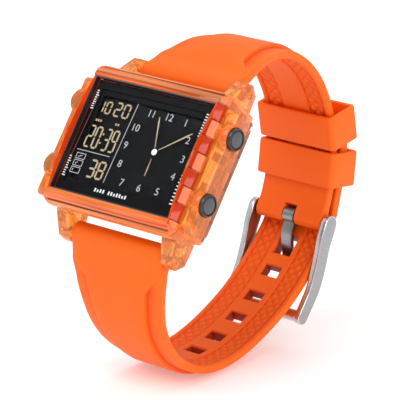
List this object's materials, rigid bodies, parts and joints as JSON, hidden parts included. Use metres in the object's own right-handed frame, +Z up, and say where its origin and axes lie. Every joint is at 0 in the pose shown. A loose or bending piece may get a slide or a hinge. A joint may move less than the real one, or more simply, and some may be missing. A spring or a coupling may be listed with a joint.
{
  "type": "rectangular digital wrist watch",
  "caption": "Rectangular digital wrist watch: translucent case with side guards and pushers, arched crystal, black display, silicone strap closed by a steel tang buckle.",
  "frame": {"origin": "middle of the watch's box at the surface it stands on", "axes": "+X to the wearer's right as the dial is read, -Y the side the dial faces, +Z up"},
  "size_m": [0.0422, 0.067, 0.0657],
  "materials": {
    "clear_case": "translucent polished moulding",
    "strap_silicone": "matte moulded silicone",
    "crystal_glass": "polished",
    "black_plastic": "fine satin",
    "display_face": "negative liquid crystal display",
    "light_sheet": "satin film",
    "board_green": "solder mask",
    "seal_rubber": "moulded seal",
    "gun_metal": "dark plated, turned",
    "brass": "stamped",
    "buckle_steel": "brushed flats, polished edges",
    "steel": "turned or brushed"
  },
  "bodies": {
    "watch": {"crystal": "crystal_glass", "crystal_gasket": "seal_rubber", "bezel": "clear_case", "case_body": "clear_case", "dial_mask": "black_plastic", "lcd_panel": "display_face", "backlight_sheet": "light_sheet", "contact_strip_12h": "seal_rubber", "contact_strip_6h": "seal_rubber", "module_frame": "black_plastic", "circuit_board": "board_green", "driver_chip": "black_plastic", "quartz_can": "steel", "battery": "steel", "battery_clip": "steel", "buzzer_disc": "brass", "buzzer_spring": "brass", "case_back": "steel", "case_back_gasket": "seal_rubber", "case_screw_1": "steel", "case_screw_2": "steel", "case_screw_3": "steel", "case_screw_4": "steel", "pusher_tube_2h": "steel", "pusher_spring_2h": "steel", "pusher_tube_4h": "steel", "pusher_spring_4h": "steel", "pusher_tube_8h": "steel", "pusher_spring_8h": "steel", "pusher_tube_10h": "steel", "pusher_spring_10h": "steel", "spring_bar_12h_tube": "steel", "spring_bar_6h_tube": "steel", "strap_short": "strap_silicone", "strap_long": "strap_silicone"},
    "pusher_2h": {"pusher_2h": "gun_metal", "pusher_seal_2h": "seal_rubber", "pusher_clip_2h": "steel"},
    "pusher_4h": {"pusher_4h": "gun_metal", "pusher_seal_4h": "seal_rubber", "pusher_clip_4h": "steel"},
    "pusher_8h": {"pusher_8h": "gun_metal", "pusher_seal_8h": "seal_rubber", "pusher_clip_8h": "steel"},
    "pusher_10h": {"pusher_10h": "gun_metal", "pusher_seal_10h": "seal_rubber", "pusher_clip_10h": "steel"},
    "keeper_upper": {"keeper_upper": "strap_silicone"},
    "keeper_lower": {"keeper_lower": "strap_silicone"},
    "buckle_frame": {"buckle_frame": "buckle_steel", "buckle_bar_tube": "steel", "buckle_bar_tip_left": "steel", "buckle_bar_tip_right": "steel"},
    "buckle_tang": {"buckle_tang": "buckle_steel"},
    "spring_bar_12h_tip_left": {"spring_bar_12h_tip_left": "steel"},
    "spring_bar_12h_tip_right": {"spring_bar_12h_tip_right": "steel"},
    "spring_bar_6h_tip_left": {"spring_bar_6h_tip_left": "steel"},
    "spring_bar_6h_tip_right": {"spring_bar_6h_tip_right": "steel"}
  },
  "joints": [
    {"name": "pusher_2h_press", "type": "slide", "parent": "watch", "child": "pusher_2h", "axis": [-1, 0, 0], "range_m": [0, 0.0007], "stiffness_N_per_m": 1200, "springref_m": -0.0008, "deforming": ["pusher_spring_2h"]},
    {"name": "pusher_4h_press", "type": "slide", "parent": "watch", "child": "pusher_4h", "axis": [-1, 0, 0], "range_m": [0, 0.0007], "stiffness_N_per_m": 1200, "springref_m": -0.0008, "deforming": ["pusher_spring_4h"]},
    {"name": "pusher_8h_press", "type": "slide", "parent": "watch", "child": "pusher_8h", "axis": [1, 0, 0], "range_m": [0, 0.0007], "stiffness_N_per_m": 1200, "springref_m": -0.0008, "deforming": ["pusher_spring_8h"]},
    {"name": "pusher_10h_press", "type": "slide", "parent": "watch", "child": "pusher_10h", "axis": [1, 0, 0], "range_m": [0, 0.0007], "stiffness_N_per_m": 1200, "springref_m": -0.0008, "deforming": ["pusher_spring_10h"]},
    {"name": "keeper_upper_slide", "type": "slide", "parent": "watch", "child": "keeper_upper", "axis": [0, -0.1695, 0.9855], "range_m": [0, 0.0015]},
    {"name": "keeper_lower_slide", "type": "slide", "parent": "watch", "child": "keeper_lower", "axis": [0, -0.112, -0.9937], "range_m": [0, 0.0015]},
    {"name": "buckle_frame_hinge", "type": "hinge", "parent": "watch", "child": "buckle_frame", "pos_m": [0, 0.0242, 0.02425], "axis": [1, 0, 0], "range_deg": [0, 3]},
    {"name": "buckle_tang_hinge", "type": "hinge", "parent": "buckle_frame", "child": "buckle_tang", "pos_m": [0, 0.0242, 0.02425], "axis": [1, 0, 0], "range_deg": [0, 4]},
    {"name": "spring_bar_12h_tip_left_slide", "type": "slide", "parent": "watch", "child": "spring_bar_12h_tip_left", "axis": [1, 0, 0], "range_m": [0, 0.0007], "stiffness_N_per_m": 600, "springref_m": -0.001},
    {"name": "spring_bar_12h_tip_right_slide", "type": "slide", "parent": "watch", "child": "spring_bar_12h_tip_right", "axis": [-1, 0, 0], "range_m": [0, 0.0007], "stiffness_N_per_m": 600, "springref_m": -0.001},
    {"name": "spring_bar_6h_tip_left_slide", "type": "slide", "parent": "watch", "child": "spring_bar_6h_tip_left", "axis": [1, 0, 0], "range_m": [0, 0.0007], "stiffness_N_per_m": 600, "springref_m": -0.001},
    {"name": "spring_bar_6h_tip_right_slide", "type": "slide", "parent": "watch", "child": "spring_bar_6h_tip_right", "axis": [-1, 0, 0], "range_m": [0, 0.0007], "stiffness_N_per_m": 600, "springref_m": -0.001}
  ]
}
